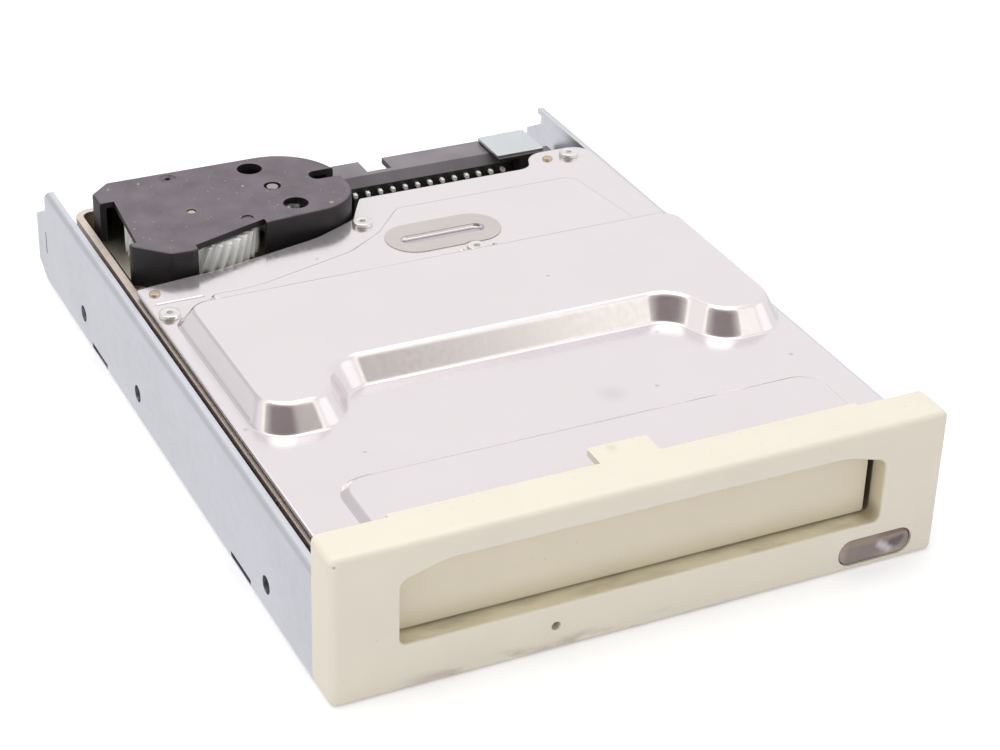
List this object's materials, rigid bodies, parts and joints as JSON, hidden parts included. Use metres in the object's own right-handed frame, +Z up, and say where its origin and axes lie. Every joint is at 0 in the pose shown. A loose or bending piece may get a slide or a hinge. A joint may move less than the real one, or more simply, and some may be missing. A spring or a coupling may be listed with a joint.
{
  "type": "removable disk drive",
  "caption": "Bay-mounted removable-cartridge disk drive: folded tray, stamped cover, slotted ivory bezel with hinged flap, eject button, load gearbox and rear connectors.",
  "frame": {"origin": "under the middle of the drive, on the plane it stands on", "axes": "+X to the right seen from the front, +Y from the bezel to the connectors, +Z up"},
  "size_m": [0.1016, 0.143, 0.0254],
  "materials": {
    "zinc_sheet": "zinc plated, satin",
    "ivory_plastic": "moulded, fine matt",
    "flap_plastic": "moulded, matt",
    "smoked_plastic": "tinted, polished",
    "stainless": "stamped, satin",
    "cast_deck": "die cast",
    "fasteners": "bright nickel",
    "brass_parts": "turned",
    "seal_film": "thin film",
    "foam": "foam",
    "charcoal_plastic": "moulded, matt",
    "white_nylon": "moulded nylon",
    "plate_sheet": "plated sheet",
    "motor_steel": "drawn can",
    "magnet": "nickel plated",
    "arm_alloy": "machined",
    "spring_steel": "rolled",
    "coil_wire": "enamelled wire",
    "rubber_stop": "moulded",
    "black_plastic": "moulded",
    "contact_metal": "tinned",
    "board_laminate": "solder masked",
    "lamp_plastic": "tinted"
  },
  "bodies": {
    "chassis": {"base_deck": "cast_deck", "bezel": "ivory_plastic", "board_chips": "black_plastic", "board_screws": "fasteners", "chassis_tray": "zinc_sheet", "circuit_board": "board_laminate", "connector_clip": "zinc_sheet", "cover_gasket": "foam", "cover_screws": "fasteners", "cover_seal": "seal_film", "crash_stops": "rubber_stop", "drive_axle": "fasteners", "eject_switch": "black_plastic", "flap_pin": "fasteners", "front_board": "board_laminate", "gearbox_cover": "charcoal_plastic", "gearbox_plate": "plate_sheet", "gearbox_screws": "fasteners", "guide_rail_left": "black_plastic", "guide_rail_right": "black_plastic", "head_ramp": "white_nylon", "header_contacts": "contact_metal", "interface_header": "black_plastic", "load_motor": "motor_steel", "locating_pins": "brass_parts", "magnet_yokes": "motor_steel", "motor_screws": "fasteners", "pivot_cap_screw": "fasteners", "pivot_post": "fasteners", "power_connector": "black_plastic", "power_contacts": "contact_metal", "shock_mounts": "foam", "shock_studs": "fasteners", "spindle_motor": "motor_steel", "status_lamp": "lamp_plastic", "top_cover": "stainless", "voice_magnets": "magnet"},
    "flap": {"flap_door": "flap_plastic"},
    "button": {"eject_button": "smoked_plastic"},
    "spindle": {"spindle_hub": "motor_steel", "clutch_magnet": "magnet"},
    "head_arm": {"actuator_arm": "arm_alloy", "voice_coil": "coil_wire", "head_suspensions": "spring_steel"},
    "load_gear": {"drive_gear": "white_nylon"},
    "motor_rotor": {"motor_pinion": "white_nylon", "motor_shaft": "fasteners"},
    "slide": {"eject_slide": "black_plastic"}
  },
  "joints": [
    {"name": "flap_hinge", "type": "hinge", "parent": "chassis", "child": "flap", "pos_m": [0, -0.0661, 0.0195], "axis": [1, 0, 0], "range_deg": [0, 88], "stiffness_Nm_per_rad": 0.0004, "springref_deg": -28.65},
    {"name": "button_press", "type": "slide", "parent": "chassis", "child": "button", "axis": [0, 1, 0], "range_m": [0, 0.0012], "stiffness_N_per_m": 300, "springref_m": -0.0005},
    {"name": "spindle_spin", "type": "hinge", "parent": "chassis", "child": "spindle", "pos_m": [0, -0.0295, 0.007], "axis": [0, 0, 1], "continuous": true},
    {"name": "arm_swing", "type": "hinge", "parent": "chassis", "child": "head_arm", "pos_m": [0.011, 0.013, 0.0128], "axis": [0, 0, 1], "range_deg": [0, 38]},
    {"name": "load_gear_turn", "type": "hinge", "parent": "chassis", "child": "load_gear", "pos_m": [-0.0322, 0.0378, 0.018], "axis": [0, 0, 1], "range_deg": [0, 143.3]},
    {"name": "motor_turn", "type": "hinge", "parent": "chassis", "child": "motor_rotor", "pos_m": [-0.01562, 0.04197, 0.018], "axis": [0, 0, 1], "range_deg": [-265, 0]},
    {"name": "slide_travel", "type": "slide", "parent": "chassis", "child": "slide", "axis": [0, -1, 0], "range_m": [0, 0.012]}
  ],
  "couplings": [
    {"joint": "load_gear_turn", "follows": "slide_travel", "rad_per_m": 208.33},
    {"joint": "motor_turn", "follows": "slide_travel", "rad_per_m": -385.42}
  ]
}
